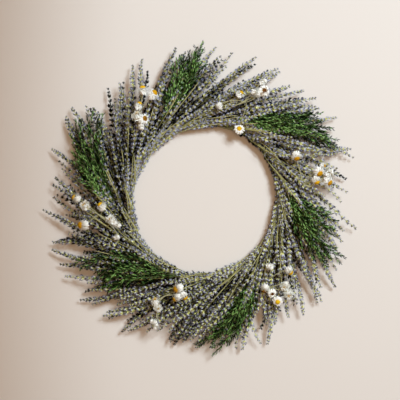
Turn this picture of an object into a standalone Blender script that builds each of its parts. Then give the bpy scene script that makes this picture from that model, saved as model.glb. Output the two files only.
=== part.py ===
"""Lavender wreath: bunches of dried lavender, leafy sprigs and small white everlasting daisies,
bound with fine wire to one round steel ring. It lies on its back, with its face up along +Z.

Everything sweeps clockwise from the ring, like a pinwheel. A stem leaves its neck on the ring
nearly along the ring and turns outwards as it goes, on a line that is the same for every stem
apart from where it starts. Two such lines never cross, so each bunch keeps to its own band. Each
bunch is modelled with its neck on the +X side of the ring, and turned about Z to its station.
"""

import math
import random

import bmesh
import bpy
from mathutils import Matrix, Vector

MM = 0.001

# The ring and the wire that binds the bunches to it
RING_RADIUS = 150 * MM
RING_WIRE = 4 * MM
RING_SEGMENTS = 36
RING_SIDES = 6
TIE_WIRE = 1.2 * MM
TIE_BASE = 2.6 * MM
CLEARANCE = 0.3 * MM

# The pinwheel that the stems follow
STATIONS = 18
STATION_STEP = math.tau / STATIONS
FIRST_STATION = math.radians(137.5)
NECK_FLARE = math.radians(18)
TIP_FLARE = math.radians(50)
TIP_RADIUS = 282 * MM

# Lavender flower heads, in whorls of florets
STEM_RADIUS = 1.2 * MM
HEAD_CORE = 2.5 * MM
FLORET_OUT = 4.3 * MM
FLORET_FORWARD = 6.0 * MM
WHORLS = 4
OUTER_HEAD = 80 * MM
MIDDLE_HEAD = 72 * MM
INNER_HEAD = 66 * MM
OVER_HEAD = 58 * MM
INNER_REACH = 92 * MM
HEAD_ROOT = 212 * MM

# The body of a bunch, from its cut ends: how far out, how far above the neck and how wide, in
# millimetres. Florets start at the length numbered CORE_NECK.
NECK_WIDTH = 10 * MM
NECK_ASPECT = 0.62
NECK_SIDE = 3 * MM
CORE_OUTLINE = ((1, -0.05), (0.6, 0.48), (0, NECK_ASPECT), (-0.6, 0.48), (-1, -0.05), (0, -NECK_ASPECT))
CORE_FLORET = 5.2 * MM
CORE_NECK = 2
CORE_SHAPE = (
    (142, 0, 10),
    (150, 0, 9.4),
    (157, 0.2, 11),
    (170, 3, 22),
    (187, 7, 32),
    (204, 8, 37),
    (221, 7, 31),
    (237, 6, 14),
)

# Leafy sprigs
SPRIG_STEM = 1.5 * MM
SPRIG_NECK = 3.2 * MM
LEAF_OUT = 6.5 * MM
LEAF_FORWARD = 7.0 * MM
SPRIG_HEAD = 104 * MM
SPRIG_WHORLS = 8

# Daisies
DAISY_RADIUS = 8.6 * MM
DAISY_DISC = 4.6 * MM
DAISY_DOME = 3.0 * MM
DAISY_DEPTH = 3.8 * MM
DAISY_PETALS = 6
DAISY_NOTCH = 0.28
DAISY_STALK = 1.0 * MM
DAISY_NECK = 2.6 * MM
DAISY_LIFT = 47 * MM

# Where each daisy is, in millimetres right of and above the wreath's middle, a spray at a time,
# clockwise from the top
DAISIES = (
    ((69, 191), (98, 195), (112, 199), (107, 213), (31, 172), (67, 128)),
    ((172, 76), (211, 51), (206, 34), (228, 43), (229, 32), (220, 61)),
    ((123, -121), (157, -126), (114, -159), (126, -170), (135, -182), (157, -168), (148, -157)),
    ((-46, -161), (-47, -176), (-32, -175), (-84, -184), (-79, -193), (-88, -218), (-83, -222)),
    ((-226, 4), (-211, -11), (-181, -11), (-213, -43), (-163, -36), (-155, -43), (-153, -68)),
    ((-108, 200), (-89, 191), (-114, 172), (-116, 153), (-105, 148), (-108, 132)),
)

# Colour, roughness and metallic value of each material
COLOURS = {
    "lavender": ((0.20, 0.19, 0.27), 0.85, 0.0),
    "greenery": ((0.05, 0.14, 0.03), 0.80, 0.0),
    "daisy": ((0.85, 0.82, 0.74), 0.75, 0.0),
    "steel": ((0.22, 0.20, 0.18), 0.45, 0.9),
    "wire": ((0.10, 0.13, 0.08), 0.50, 0.7),
}

# A stem's flare from the ring's direction is TURN * (radius - EYE) / radius, as a tangent
TURN = (math.tan(TIP_FLARE) * TIP_RADIUS - math.tan(NECK_FLARE) * RING_RADIUS) / (TIP_RADIUS - RING_RADIUS)
EYE = RING_RADIUS - math.tan(NECK_FLARE) * RING_RADIUS / TURN

# Heights, from the lowest wire up
RING_HEIGHT = TIE_WIRE + CLEARANCE + RING_WIRE / 2
NECK_HEIGHT = RING_HEIGHT + RING_WIRE / 2 + CLEARANCE + NECK_WIDTH * NECK_ASPECT / 2
NECK_TOP = NECK_HEIGHT + NECK_WIDTH * NECK_ASPECT / 2


def material(name):
    colour, roughness, metallic = COLOURS[name]
    made = bpy.data.materials.new(name)
    made.use_nodes = True
    shader = made.node_tree.nodes["Principled BSDF"]
    shader.inputs["Base Color"].default_value = (*colour, 1)
    shader.inputs["Roughness"].default_value = roughness
    shader.inputs["Metallic"].default_value = metallic
    return made


def place_node(item, name, colour, station, holder):
    """Names a finished sub-part, gives it its material and turns it to its station."""
    item.name = name
    item.data.materials.clear()
    item.data.materials.append(colour)
    item.rotation_euler.z = FIRST_STATION - station * STATION_STEP
    item.parent = holder
    for old in list(item.users_collection):
        old.objects.unlink(item)
    bpy.data.collections["lavender_wreath"].objects.link(item)


def polar(radius, angle, height):
    return Vector((radius * math.cos(angle), radius * math.sin(angle), height))


def on_flow(radius, height, ahead=0.0):
    """The point where the stem line that starts at a bunch's neck is this far from the middle."""
    return polar(radius, ahead - math.log((radius - EYE) / (RING_RADIUS - EYE)) / TURN, height)


def bend(start, middle, end, t):
    return start * (1 - t) ** 2 + 2 * middle * t * (1 - t) + end * t * t


def stem_line(lane, start, end, heights, steps=40):
    """Points of a stem along its bunch's band, from radius start to radius end. lane is 0 in the
    middle of the band and 0.5 at its edge, and heights are at the start, about the middle and at the end."""
    points = []
    for i in range(steps + 1):
        t = i / steps
        spread = lane * STATION_STEP * min(1.0, 0.35 + 2.2 * t)
        points.append(on_flow(start + (end - start) * t, bend(*heights, t), spread))
    return points


def inner_line(drift, top, steps=30):
    """Points of a stem that stays along the ring, and climbs over the necks ahead of it."""
    points = []
    for i in range(steps + 1):
        t = i / steps
        radius = RING_RADIUS - NECK_SIDE + (NECK_SIDE + drift) * t
        height = NECK_HEIGHT + (top - NECK_HEIGHT) * math.sin(0.46 * math.pi * t)
        points.append(polar(radius, -INNER_REACH * t / RING_RADIUS, height))
    return points


def length_of(points):
    return sum((b - a).length for a, b in zip(points, points[1:]))


def along(points, distances):
    """The points at these distances from the line's start."""
    found = []
    for distance in distances:
        left = distance
        for a, b in zip(points, points[1:]):
            step = (b - a).length
            if left <= step or b is points[-1]:
                found.append(a.lerp(b, left / step))
                break
            left -= step
    return found


def profile(name, corners):
    """A closed outline of unit size, hidden in the render, that tubes are swept with."""
    curve = bpy.data.curves.new(name, "CURVE")
    curve.dimensions = "2D"
    spline = curve.splines.new("POLY")
    spline.points.add(len(corners) - 1)
    spline.use_cyclic_u = True
    for point, (x, y) in zip(spline.points, corners):
        point.co = (x, y, 0, 1)
    made = bpy.data.objects.new(name, curve)
    bpy.data.collections["outlines"].objects.link(made)
    made.hide_render = True
    made.display_type = "WIRE"
    return made


def regular(count, turn=0.0):
    """Corners of a regular polygon of unit size."""
    angles = [turn + math.tau * i / count for i in range(count)]
    return [(math.cos(angle), math.sin(angle)) for angle in angles]


def face_outwards(work):
    bmesh.ops.recalc_face_normals(work, faces=work.faces)
    if work.calc_volume(signed=True) < 0:
        bmesh.ops.reverse_faces(work, faces=work.faces)


def swept(name, points, radii, section, tilts=None, flat_loop=False):
    """A mesh object: a section swept along points by a curve, which is then removed. A flat loop is
    closed, and lies in the XY plane."""
    curve = bpy.data.curves.new(name, "CURVE")
    curve.dimensions = "2D" if flat_loop else "3D"
    curve.fill_mode = "NONE" if flat_loop else "FULL"
    curve.twist_mode = "Z_UP"
    spline = curve.splines.new("POLY")
    spline.points.add(len(points) - 1)
    spline.use_cyclic_u = flat_loop
    for i, (point, place) in enumerate(zip(spline.points, points)):
        point.co = (*place, 1)
        point.radius = radii[i]
        point.tilt = tilts[i] if tilts else 0
    curve.bevel_mode = "OBJECT"
    curve.bevel_object = section
    curve.use_fill_caps = not flat_loop
    guide = bpy.data.objects.new(name + "_guide", curve)
    bpy.context.scene.collection.objects.link(guide)
    graph = bpy.context.evaluated_depsgraph_get()
    mesh = bpy.data.meshes.new_from_object(guide.evaluated_get(graph))
    bpy.data.objects.remove(guide)
    work = bmesh.new()
    work.from_mesh(mesh)
    bmesh.ops.remove_doubles(work, verts=work.verts, dist=0.001 * MM)
    face_outwards(work)
    work.to_mesh(mesh)
    work.free()
    return bpy.data.objects.new(name, mesh)


def raise_points(item, points, first, out, forward, growth, below=1.0):
    """Raises a floret or a leaf from each side face of the tube after point number first. They grow
    by this much of their size towards the tip, and those underneath are this much of the others."""
    work = bmesh.new()
    work.from_mesh(item.data)
    middles = [(a + b) / 2 for a, b in zip(points, points[1:])]
    chosen = {}
    for face in work.faces:
        if len(face.verts) != 4:
            continue
        centre = face.calc_center_median()
        nearest = min(range(len(middles)), key=lambda i: (middles[i] - centre).length)
        under = below < 1 and face.normal.z < 0
        if nearest >= first:
            chosen.setdefault((nearest, under), []).append(face)
    for (nearest, under), faces in chosen.items():
        t = (nearest - first) / (len(middles) - 1 - first)
        size = (1 + growth * t) * (below if under else 1)
        ahead = (points[nearest + 1] - points[nearest]).normalized()
        made = bmesh.ops.poke(work, faces=faces, offset=out * size)
        for corner in made["verts"]:
            corner.co += ahead * forward * size
    work.to_mesh(item.data)
    work.free()
    return item


def fuse(pieces):
    """One solid of all the pieces, by one Boolean union on a collection. It keeps the first one's
    object and removes the others."""
    body, repeats = pieces[0], pieces[1:]
    bpy.context.scene.collection.objects.link(body)
    group = bpy.data.collections.new("repeats")
    bpy.context.scene.collection.children.link(group)
    for item in repeats:
        group.objects.link(item)
    union = body.modifiers.new("fuse", "BOOLEAN")
    union.operation = "UNION"
    union.operand_type = "COLLECTION"
    union.collection = group
    union.solver = "MANIFOLD"
    graph = bpy.context.evaluated_depsgraph_get()
    mesh = bpy.data.meshes.new_from_object(body.evaluated_get(graph))
    body.modifiers.remove(union)
    body.data = mesh
    for item in repeats:
        bpy.data.objects.remove(item)
    bpy.data.collections.remove(group)
    return body


def bunch_core(kind, section):
    """The body of a bunch: the cut ends inside the ring, the tied neck, and the flower heads packed
    side by side, with a row of florets along each face. Under leafy sprigs it is lower."""
    sprigs = kind == "green"
    first = CORE_NECK + (1 if sprigs else 0)
    points, radii = [], []
    for i, (radius, rise, width) in enumerate(CORE_SHAPE):
        points.append(on_flow(radius * MM, NECK_HEIGHT + rise * (0.4 if sprigs else 1) * MM))
        radii.append(width * MM / 2 * (0.8 if sprigs and i >= CORE_NECK else 1))
    core = swept("core", points, radii, section)
    return raise_points(core, points, first, CORE_FLORET, FLORET_FORWARD, 0.9, below=0.6)


def lavender_head(line, head, section, twist, size):
    """A stem with its flower head: whorls of pointed florets that stand out of a slim core."""
    base = length_of(line) - head
    distances = [0.0, base * 0.55] if base > 40 * MM else [0.0]
    stems = len(distances)
    distances += [base + head * i / WHORLS for i in range(WHORLS + 1)]
    points = along(line, distances)
    radii = [STEM_RADIUS] * stems
    tilts = [twist] * stems
    for i in range(WHORLS + 1):
        t = i / WHORLS
        swell = 0.62 + 0.38 * math.sin(math.pi * min(1, 0.15 + t))
        radii.append(HEAD_CORE * size * swell * (1 - 0.72 * t**4))
        tilts.append(twist + math.radians(60) * i)
    made = swept("head", points, radii, section, tilts)
    return raise_points(made, points, stems, FLORET_OUT * size, FLORET_FORWARD * size, -0.45)


def lavender_bunch(kind, sections, draw):
    pieces = [bunch_core(kind, sections["core"])]

    def add(line, head, size):
        pieces.append(lavender_head(line, head, sections["three"], draw.uniform(0, math.tau), size))

    add(inner_line(-13 * MM, 33 * MM), INNER_HEAD, 1.0)
    add(inner_line(8 * MM, 40 * MM), OVER_HEAD, 1.0)
    lanes = ((-0.36, 23), (-0.12, 12), (0.13, 24), (0.37, 13))
    if kind == "green":
        lanes = ((-0.34, 22), (0.02, 12), (0.35, 21))
    for lane, height in lanes:
        tip = TIP_RADIUS - draw.uniform(0, 14) * MM
        heights = (NECK_HEIGHT + 6 * MM, (height + 3) * MM, (height + draw.uniform(-1, 2)) * MM)
        add(stem_line(lane, HEAD_ROOT, tip, heights), OUTER_HEAD, 1.35)
    if kind == "plain":
        tip = draw.uniform(222, 232) * MM
        heights = (NECK_HEIGHT + 3 * MM, 44 * MM, draw.uniform(33, 36) * MM)
        add(stem_line(0.04, 157 * MM, tip, heights), MIDDLE_HEAD, 1.2)
    return fuse(pieces)


def green_spray(sections, draw):
    """Leafy sprigs that share one neck on top of the lavender's."""
    neck_height = NECK_TOP + CLEARANCE + SPRIG_NECK / 2
    neck = [on_flow(radius * MM, neck_height) for radius in (146, 150, 154)]
    neck.append(on_flow(162 * MM, neck_height + 5 * MM))
    neck_radii = [SPRIG_NECK / 2] * 3 + [SPRIG_NECK * 0.35]
    pieces = [swept("neck", neck, neck_radii, sections["four"])]
    for lane, tip, height in ((-0.27, 262, 33), (0.0, 272, 38), (0.28, 258, 34)):
        heights = (neck_height, (height + 17) * MM, height * MM)
        line = stem_line(lane, 154 * MM, (tip + draw.uniform(-5, 5)) * MM, heights)
        base = length_of(line) - SPRIG_HEAD
        distances = [0, base * 0.5] + [base + SPRIG_HEAD * i / SPRIG_WHORLS for i in range(SPRIG_WHORLS + 1)]
        points = along(line, distances)
        radii = [SPRIG_STEM] * 3 + [SPRIG_STEM * (1 - 0.6 * i / SPRIG_WHORLS) for i in range(SPRIG_WHORLS)]
        twist = draw.uniform(0, math.tau)
        tilts = [twist] * 2 + [twist + math.radians(60) * i for i in range(SPRIG_WHORLS + 1)]
        sprig = swept("sprig", points, radii, sections["three"], tilts)
        pieces.append(raise_points(sprig, points, 2, LEAF_OUT, LEAF_FORWARD, -0.35))
    return fuse(pieces)


def daisy(fork, place, lean):
    """A branch from the fork, opening at its end into a cup of pointed bracts round a domed disc. The
    branch is a triangle extruded from point to point, and the cup is bridged from ring to ring."""
    back = place - lean * DAISY_DEPTH
    middle = fork.lerp(back, 0.62)
    middle.z = fork.z + (back.z - fork.z) * 0.35
    upright = lean.to_track_quat("Z", "Y")
    steps = []
    for centre, ahead in ((fork, middle - fork), (middle, back - fork), (back, lean)):
        turn = lean.rotation_difference(ahead) @ upright
        steps.append(Matrix.LocRotScale(centre, turn, None))
    work = bmesh.new()

    def circle(count, radius, matrix):
        made = bmesh.ops.create_circle(work, segments=count, radius=radius, matrix=matrix)["verts"]
        return made, list({edge for corner in made for edge in corner.link_edges})

    root = circle(3, DAISY_STALK, steps[0])[1]
    loop = root
    for before, after in zip(steps, steps[1:]):
        made = bmesh.ops.extrude_edge_only(work, edges=loop)["geom"]
        corners = [item for item in made if isinstance(item, bmesh.types.BMVert)]
        bmesh.ops.transform(work, matrix=after @ before.inverted(), verts=corners)
        edges = [item for item in made if isinstance(item, bmesh.types.BMEdge)]
        loop = [edge for edge in edges if all(corner in corners for corner in edge.verts)]
    rise = Matrix.Translation(lean * (DAISY_DEPTH + 1.5 * MM))
    tips, rim = circle(2 * DAISY_PETALS, DAISY_RADIUS, rise @ steps[-1])
    for corner in tips[1::2]:
        corner.co = corner.co.lerp(place, DAISY_NOTCH)
    rise = Matrix.Translation(lean * (DAISY_DEPTH + 0.5 * MM))
    disc = circle(DAISY_PETALS, DAISY_DISC, rise @ steps[-1])[1]
    bmesh.ops.bridge_loops(work, edges=loop + rim)
    bmesh.ops.bridge_loops(work, edges=rim + disc)
    bmesh.ops.holes_fill(work, edges=root, sides=3)
    dome = bmesh.ops.holes_fill(work, edges=disc, sides=DAISY_PETALS)["faces"]
    face_outwards(work)
    bmesh.ops.poke(work, faces=dome, offset=DAISY_DOME)
    mesh = bpy.data.meshes.new("daisy")
    work.to_mesh(mesh)
    work.free()
    return bpy.data.objects.new("daisy", mesh)


def daisy_spray(station, places, sections, draw):
    """One stalk from the neck to above the lavender, and a branch with its flower to each place."""
    neck_height = NECK_TOP + CLEARANCE + DAISY_NECK / 2
    line = stem_line(-0.05, 150 * MM, 190 * MM, (neck_height, 34 * MM, DAISY_LIFT))
    total = length_of(line)
    stalk = [on_flow(146 * MM, neck_height)] + along(line, [0, 0.3 * total, 0.6 * total, total])
    pieces = [swept("stalk", stalk, [DAISY_NECK / 2] * len(stalk), sections["four"])]
    to_local = Matrix.Rotation(station * STATION_STEP - FIRST_STATION, 3, "Z")
    for i, (x, y) in enumerate(places):
        fork = stalk[-2].lerp(stalk[-1], 0.1 + 0.8 * i / len(places))
        place = to_local @ Vector((x * MM, y * MM, DAISY_LIFT + (4 + 9 * (i % 2)) * MM))
        lean = Vector((draw.uniform(-0.4, 0.4), draw.uniform(-0.4, 0.4), 1)).normalized()
        pieces.append(daisy(fork, place, lean))
    return fuse(pieces)


def wire_ring():
    bpy.ops.mesh.primitive_torus_add(
        major_radius=RING_RADIUS,
        minor_radius=RING_WIRE / 2,
        major_segments=RING_SEGMENTS,
        minor_segments=RING_SIDES,
        location=(0, 0, RING_HEIGHT),
    )
    return bpy.context.object


def wire_tie(kind, section):
    """A turn of binding wire round the ring and the necks that lie on it. Its underside is what the
    wreath rests on."""
    load = {"plain": 0, "daisy": DAISY_NECK + CLEARANCE, "green": SPRIG_NECK + CLEARANCE}[kind]
    top = NECK_TOP + load + CLEARANCE + TIE_WIRE / 2
    low = TIE_WIRE / 2
    side = NECK_WIDTH / 2 + CLEARANCE + TIE_WIRE
    outline = ((-TIE_BASE, low), (TIE_BASE, low), (side, NECK_HEIGHT))
    outline += ((0.62 * side, top), (-0.62 * side, top), (-side, NECK_HEIGHT))
    points = [(x, y, 0) for x, y in outline]
    tie = swept("tie", points, [TIE_WIRE / 2] * len(points), section, flat_loop=True)
    upright = Matrix.Rotation(NECK_FLARE / 2, 4, "Z") @ Matrix.Rotation(math.pi / 2, 4, "X")
    tie.data.transform(Matrix.Translation((RING_RADIUS, 0, 0)) @ upright)
    return tie


def main():
    for item in list(bpy.data.objects):
        bpy.data.objects.remove(item)
    for name in ("lavender_wreath", "outlines"):
        bpy.context.scene.collection.children.link(bpy.data.collections.new(name))
    sections = {
        "three": profile("three_sides", regular(3)),
        "four": profile("four_sides", regular(4, math.pi / 4)),
        "core": profile("core_outline", CORE_OUTLINE),
    }
    colours = {name: material(name) for name in COLOURS}
    holder = bpy.data.objects.new("wreath", None)
    bpy.context.scene.collection.objects.link(holder)
    draw = random.Random(11)

    place_node(wire_ring(), "wire_ring", colours["steel"], 0, holder)
    for station in range(STATIONS):
        kind = ("green", "plain", "daisy")[station % 3]
        number = station + 1
        third = station // 3
        bunch = lavender_bunch(kind, sections, draw)
        place_node(bunch, f"lavender_bunch_{number:02d}", colours["lavender"], station, holder)
        tie = wire_tie(kind, sections["four"])
        place_node(tie, f"wire_tie_{number:02d}", colours["wire"], station, holder)
        if kind == "green":
            spray = green_spray(sections, draw)
            place_node(spray, f"green_spray_{third + 1}", colours["greenery"], station, holder)
        if kind == "daisy":
            spray = daisy_spray(station, DAISIES[third], sections, draw)
            place_node(spray, f"daisy_spray_{third + 1}", colours["daisy"], station, holder)

    ties = [item for item in holder.children if item.name.startswith("wire_tie")]
    holder.location.z = -min(corner.co.z for tie in ties for corner in tie.data.vertices)


main()
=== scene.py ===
"""Lavender wreath: the finished looks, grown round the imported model.

Every stem follows one family of lines: it leaves its neck on the ring nearly along the ring and turns
outwards as it goes, all clockwise. The lines stand a little nearer to straight outwards than the
model's, as the photograph's do. Each bunch, spray and flower group is one piece that stands for its
node, and its flower heads, needles and bracts are grown from small templates by seeded rules. Lengths
are in metres, +Z out of the wreath's face, +Y to the top of the photograph.
"""

import math
from collections import namedtuple

import bpy
import numpy as np
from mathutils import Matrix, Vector


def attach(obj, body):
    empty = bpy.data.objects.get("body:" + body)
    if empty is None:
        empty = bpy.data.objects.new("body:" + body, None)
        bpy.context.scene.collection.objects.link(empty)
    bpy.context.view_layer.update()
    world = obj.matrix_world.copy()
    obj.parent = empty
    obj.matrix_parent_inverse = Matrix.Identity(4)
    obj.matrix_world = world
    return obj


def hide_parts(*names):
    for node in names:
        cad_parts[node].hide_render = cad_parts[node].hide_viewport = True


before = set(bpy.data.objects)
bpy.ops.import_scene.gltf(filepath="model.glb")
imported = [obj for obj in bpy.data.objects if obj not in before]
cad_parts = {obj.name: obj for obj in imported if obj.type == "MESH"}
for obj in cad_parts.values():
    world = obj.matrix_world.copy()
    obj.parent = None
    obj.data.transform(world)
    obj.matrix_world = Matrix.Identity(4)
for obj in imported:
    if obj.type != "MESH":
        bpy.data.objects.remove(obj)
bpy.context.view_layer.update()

MM = 0.001
SEED = 5
BODY = "root"
UP = np.array([0.0, 0.0, 1.0])

# The ring and the stations round it, which follow one another clockwise, as in the model. A leafy
# spray lies over every third station's bunch, and a group of daisies leaves the ring two stations
# and a little further on from it
RING_RADIUS = 150 * MM
STATIONS = 18
STATION_STEP = math.tau / STATIONS
FIRST_STATION = math.radians(137.5)
NECK_HEIGHT = 9 * MM
SPRAY_STATIONS = 3
DAISIES_AFTER = 2
DAISIES_FURTHER = 0.05

# The lines that stems follow. A line flares from the ring's direction by TURN * (radius - EYE) /
# radius, as a tangent, which gives the two flares named here at the ring and at the tips. The lines
# lead the model's at the ring and turn back by TIPS_OUT radians on the way to their tips, with the
# power DRIFT_POWER of how far along they are. A bunch's tips lie TIPS_AHEAD clockwise of its station
NECK_FLARE = math.radians(23)
TIP_FLARE = math.radians(55)
TIP_RADIUS = 282 * MM
TURN = (math.tan(TIP_FLARE) * TIP_RADIUS - math.tan(NECK_FLARE) * RING_RADIUS) / (TIP_RADIUS - RING_RADIUS)
EYE = RING_RADIUS - math.tan(NECK_FLARE) * RING_RADIUS / TURN
LEAD = math.radians(11)
TIPS_OUT = 0.05
DRIFT_POWER = 1.5
TIPS_AHEAD = math.radians(48)
LINE_POINTS = 26

# The wreath's upper surface: its height at some distances from the middle
CROWN_RADII = np.array([128, 140, 158, 180, 205, 230, 255, 285]) * MM
CROWN_HEIGHTS = np.array([16, 30, 39, 44, 43, 37, 28, 16]) * MM

# The photograph's frame: its size in pixels, where the wreath's middle is in it, its scale on the
# floor, and the camera that gives that scale
PICTURE = 400
MIDDLE_X = 202.0
MIDDLE_Y = 200.0
FLOOR_SCALE = 1.815 * MM
LENS = 85.0
SENSOR = 36.0
CAMERA_HEIGHT = PICTURE * FLOOR_SCALE * LENS / SENSOR
CAMERA_X = (PICTURE / 2 - MIDDLE_X) * FLOOR_SCALE
CAMERA_Y = (MIDDLE_Y - PICTURE / 2) * FLOOR_SCALE
CAMERA_REACH = 20

# Lavender bunches. Each layer of a bunch, from the lowest up, has a number of heads, the radii that
# their tips reach, the shares of the crown's height there, the radius that their stems start at and
# the heads' lengths, all but the shares in millimetres
Layer = namedtuple("Layer", "heads tips shares start lengths")
LAYERS = (
    Layer(3, (222, 268), (0.35, 0.7), 148, (75, 105)),
    Layer(8, (176, 222), (0.25, 0.55), 144, (80, 110)),
    Layer(6, (230, 288), (0.75, 1.0), 148, (95, 130)),
    Layer(3, (202, 240), (0.9, 1.05), 144, (90, 120)),
    Layer(3, (160, 200), (0.95, 1.05), 138, (75, 100)),
)
# The lowest that tips reach in the two outer layers. Most tips stand out at the lower left, where
# each bunch has up to FULLER more heads in each of those layers
OUTER_TIPS = 222
FULL_TOWARDS = math.radians(245)
FULLER = 3
# The bunches towards the right are painted lighter: painted light on the side the key light comes from
PAINTED_LIGHT_TOWARDS = math.radians(-5)
PAINTED_LIGHT = 0.18
# How far a layer is shifted and its heads stray, in lanes, how their lanes fan out, and how far their
# lines drift and sway, in radians. One head in five or six drifts further. ARCH is the height of a
# line's guide to the height that the line is to rise by
LAYER_SHIFT = 0.25
LANE_STRAY = 0.2
FAN = 0.25
DRIFT = 0.035
WIDE_DRIFT = 0.1
WIDE_DRIFTS = 0.18
SWAY = 0.015
ARCH = 1.3
LOWEST_TIP = 5 * MM
HEAD_SIZES = (0.92, 1.12)

# The heads and bare stems along the wreath's inner edge, in a band from the inner radius outwards,
# where a few stray inwards. EDGE_RISE is how much higher a line's top is for each unit further out,
# and EDGE_CLIMB the part of half a wave that it climbs by. The ranges are in millimetres
EDGE_LINES = 8
EDGE_STEM_PLACES = (0, 3, 6)
EDGE_STEM_LIFT = 5 * MM
EDGE_INNER = 129.5 * MM
EDGE_WIDTH = 13 * MM
EDGE_STRAY = 3.5 * MM
EDGE_STRAYS = 0.15
EDGE_STARTS = (143, 149)
EDGE_ENDS = (8, 24)
EDGE_REACHES = (92, 120)
EDGE_LOWS = (7, 11)
EDGE_TOPS = (20, 27)
EDGE_RISE = 0.9
EDGE_CLIMB = 0.46
EDGE_LENGTHS = (65, 90)
EDGE_SIZES = (0.85, 1.05)
EDGE_LANES_APART = 5
# The inner edge's middle is this far to the right of the ring's, and it is longer to the upper right.
# A bunch's part of it lies EDGE_TURN clockwise of the bunch's station
EDGE_SHIFT = 5 * MM
EDGE_OVAL = 4 * MM
EDGE_LONGEST = math.radians(45)
EDGE_TURN = math.radians(35)

# Bare stems over each bunch, in millimetres
BARE_STEMS = 2
BARE_STARTS = (136, 146)
BARE_TIPS = (165, 215)
BARE_ROOT_HEIGHTS = (16, 30)
BARE_MIDDLE_HEIGHTS = (42, 58)
BARE_TIP_CLEARANCES = (-4, 3)
BARE_TONES = (0.6, 1.0)

# Lavender flower heads: whorls of calyxes in two opposite tufts, with a bract under each tuft. The
# whorls are smaller and closer towards the tip, and a loose one may stand below a head. Rises,
# pitches and gaps are in millimetres, tilts in degrees, and a tuft's spread and a whorl's twist in
# radians
WHORL_TEMPLATES = 12
CALYXES = 9
CALYX_LENGTH = 6.8 * MM
CALYX_LENGTHS = (0.82, 1.12)
CALYX_RADIUS = 1.35 * MM
CALYX_RADII = (0.85, 1.12)
CALYX_TILTS = (22, 58)
CALYX_BASE = 0.5 * MM
CALYX_RISE = 1.6
TUFT_SPREAD = 1.1
TIP_WHORL = 2.4 * MM
TIP_WHORL_SIZE = 0.5
WHORL_GROWTH = 0.13
WHORL_SIZES = (0.92, 1.08)
WHORL_PITCH = 5.2
WHORL_PITCH_GAIN = 3.0
WHORL_PITCHES = (0.9, 1.15)
HEAD_SPREADS = (1.0, 1.0, 1.1, 1.45)
TIP_WHORLS = 4
TWIST = 0.25
LOOSE_WHORLS = 0.45
LOOSE_GAPS = (5, 9)
LOOSE_MARGIN = 0.5 * MM
LAVENDER_BRACT = (3.8 * MM, 2.2 * MM)
LAVENDER_BRACT_TILTS = (40, 75)
LAVENDER_BRACT_DROP = 2.0 * MM
STEM_RADIUS = 0.7 * MM
HEAD_STEM = (STEM_RADIUS, STEM_RADIUS, 0.4 * STEM_RADIUS)
BARE_STEM = (STEM_RADIUS, STEM_RADIUS)
# The lavender's tone, how much darker it is at its tips, how much painted shade darkens it below the
# crown and, for each metre, on the undersides of its heads, and how tones differ from head to head,
# calyx to calyx and bract to bract
BRIGHT = 1.1
SHADE_TIPS = 0.3
SHADE_BELOW = 2.2
SHADE_UNDER = 140
HEAD_TONES = 0.12
STEM_TONE = 0.5
STEM_TONES = 0.2
CALYX_TONES = (-0.58, 0.42)
LAVENDER_BRACT_TONES = 0.5

# Leafy sprays. Each spray's turn from its station, anticlockwise, and how far its tips turn back from
# the common lines, in degrees, its width at the root to a station's, how its tips spread to its
# roots, the radius it starts at and the radii that its tips reach, in millimetres
Spray = namedtuple("Spray", "turn back width fan start tips")
SPRAYS = (
    Spray(-3, 6, 0.35, 1.0, 160, (230, 278)),
    Spray(0, -2, 0.6, 0.7, 152, (235, 284)),
    Spray(-1, 9, 0.65, 0.6, 150, (235, 284)),
    Spray(11, -8, 0.45, 0.7, 162, (232, 280)),
    Spray(-11, 14, 1.15, -0.3, 141, (214, 260)),
    Spray(3, -6, 0.6, 1.4, 155, (225, 278)),
)
# Bright sprigs lie over darker ones, whose darker tone is painted shade. Heights, lengths and what the
# outer and lower ones fall short by are in millimetres, and swings and tilts in degrees. A root's height
# is SPRIG_ROOT less the radius it starts at. Needles get shorter over the last part of a stem, TAPERED,
# down to SHORTEST_NEEDLE of their length
SPRIGS = 5
UNDER_SPRIGS = 5
SPRIG_LANE_STRAY = 0.05
SPRIG_SWAY = 0.012
SPRIG_ROOT = 178
SPRIG_MIDDLES = (60, 74)
SPRIG_TIP_CLEARANCE = 6
INNER_LANES = 0.3
OUTER_SHORTER = 60
UNDER_SHORTER = 15
UNDER_MIDDLE_LOWER = 24
UNDER_TIP_LOWER = 8
SPRIG_STEM = (1.1 * MM, 0.9 * MM, 0.4 * MM)
SHOOTS = 7
FIRST_SHOOT = 0.2
SHOOT_SPAN = 0.7
SHOOT_STRAY = 0.3
SHOOT_SWINGS = (14, 34)
SHOOT_LIFTS = (-0.3, 0.35)
SHOOT_LENGTHS = (24, 40)
SHOOT_BEND = 0.3
SHOOT_STEM = (0.6 * MM, 0.3 * MM)
SHOOT_BARE = 3 * MM
SPRIG_BARE = 0.06
MAIN_NEEDLES = (6 * MM, 11 * MM)
SHOOT_NEEDLES = (5 * MM, 9 * MM)
SHORTEST_NEEDLE = 0.6
TAPERED = 0.25
NEEDLE_TILTS = (18, 50)
NEEDLE_BASE = 0.3 * MM
NEEDLE_RADIUS = 0.75 * MM
NEEDLE_RADII = (0.8, 1.2)
NEEDLE_PITCH = 1.5 * MM
# The greens' tones: painted shade at roots, towards each stem's root and, for each metre, below their
# stems, and painted light above them
SPRIG_TONE = 0.07
# The under sprigs' darker tone is painted shade
UNDER_TONE = -0.45
SPRIG_TONES = (-0.2, 0.15)
MAIN_NEEDLE_TONE = -0.1
SHOOT_TONES = (-0.35, 0.35)
ROOT_SHADE = 0.7
EVEN_SHARE = 0.6
NEEDLE_SHADE = 320
TIP_GAIN = 0.45
NEEDLE_TONES = (-0.5, 0.55)

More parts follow.
